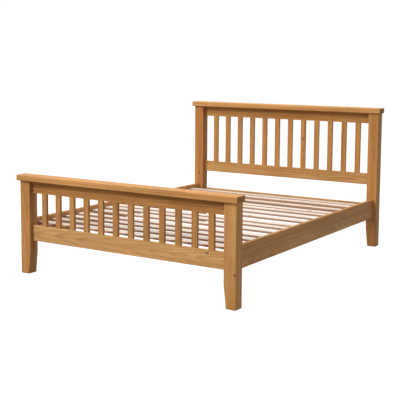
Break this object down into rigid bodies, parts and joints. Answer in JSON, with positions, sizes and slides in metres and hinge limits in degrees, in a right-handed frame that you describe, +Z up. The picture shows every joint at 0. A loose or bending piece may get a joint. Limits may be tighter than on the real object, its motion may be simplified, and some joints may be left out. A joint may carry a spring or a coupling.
{
  "type": "open-frame bed",
  "caption": "Open-frame bed: head and foot ends of flat spindles between posts with tapered legs under overhanging cap rails, side rails, and a base of flat cross slats.",
  "frame": {"origin": "on the floor, under the middle of the whole bed", "axes": "+Z up, +Y from the foot end to the head end, +X to the right for someone who looks from the foot end to the head end"},
  "size_m": [1.66, 2.17, 1.047],
  "materials": {
    "oak": "oak with a satin clear lacquer",
    "pine": "planed softwood, left bare",
    "zinc_plated_steel": "bright zinc plate"
  },
  "bodies": {
    "root": {"bracket_bolts": "zinc_plated_steel", "bracket_screws": "zinc_plated_steel", "foot_bracket_left": "zinc_plated_steel", "foot_bracket_right": "zinc_plated_steel", "foot_cap_rail": "oak", "foot_lower_rail": "oak", "foot_post_left": "oak", "foot_post_right": "oak", "foot_spindle_01": "oak", "foot_spindle_02": "oak", "foot_spindle_03": "oak", "foot_spindle_04": "oak", "foot_spindle_05": "oak", "foot_spindle_06": "oak", "foot_spindle_07": "oak", "foot_spindle_08": "oak", "foot_spindle_09": "oak", "foot_spindle_10": "oak", "foot_spindle_11": "oak", "foot_spindle_12": "oak", "foot_upper_rail": "oak", "head_bracket_left": "zinc_plated_steel", "head_bracket_right": "zinc_plated_steel", "head_cap_rail": "oak", "head_lower_rail": "oak", "head_middle_rail": "oak", "head_post_left": "oak", "head_post_right": "oak", "head_spindle_01": "oak", "head_spindle_02": "oak", "head_spindle_03": "oak", "head_spindle_04": "oak", "head_spindle_05": "oak", "head_spindle_06": "oak", "head_spindle_07": "oak", "head_spindle_08": "oak", "head_spindle_09": "oak", "head_spindle_10": "oak", "head_spindle_11": "oak", "head_spindle_12": "oak", "head_upper_rail": "oak", "side_rail_left": "oak", "side_rail_right": "oak", "slat_01": "pine", "slat_02": "pine", "slat_03": "pine", "slat_04": "pine", "slat_05": "pine", "slat_06": "pine", "slat_07": "pine", "slat_08": "pine", "slat_09": "pine", "slat_10": "pine", "slat_11": "pine", "slat_12": "pine", "slat_13": "pine", "slat_14": "pine", "slat_ledger_left": "pine", "slat_ledger_right": "pine"}
  },
  "joints": []
}
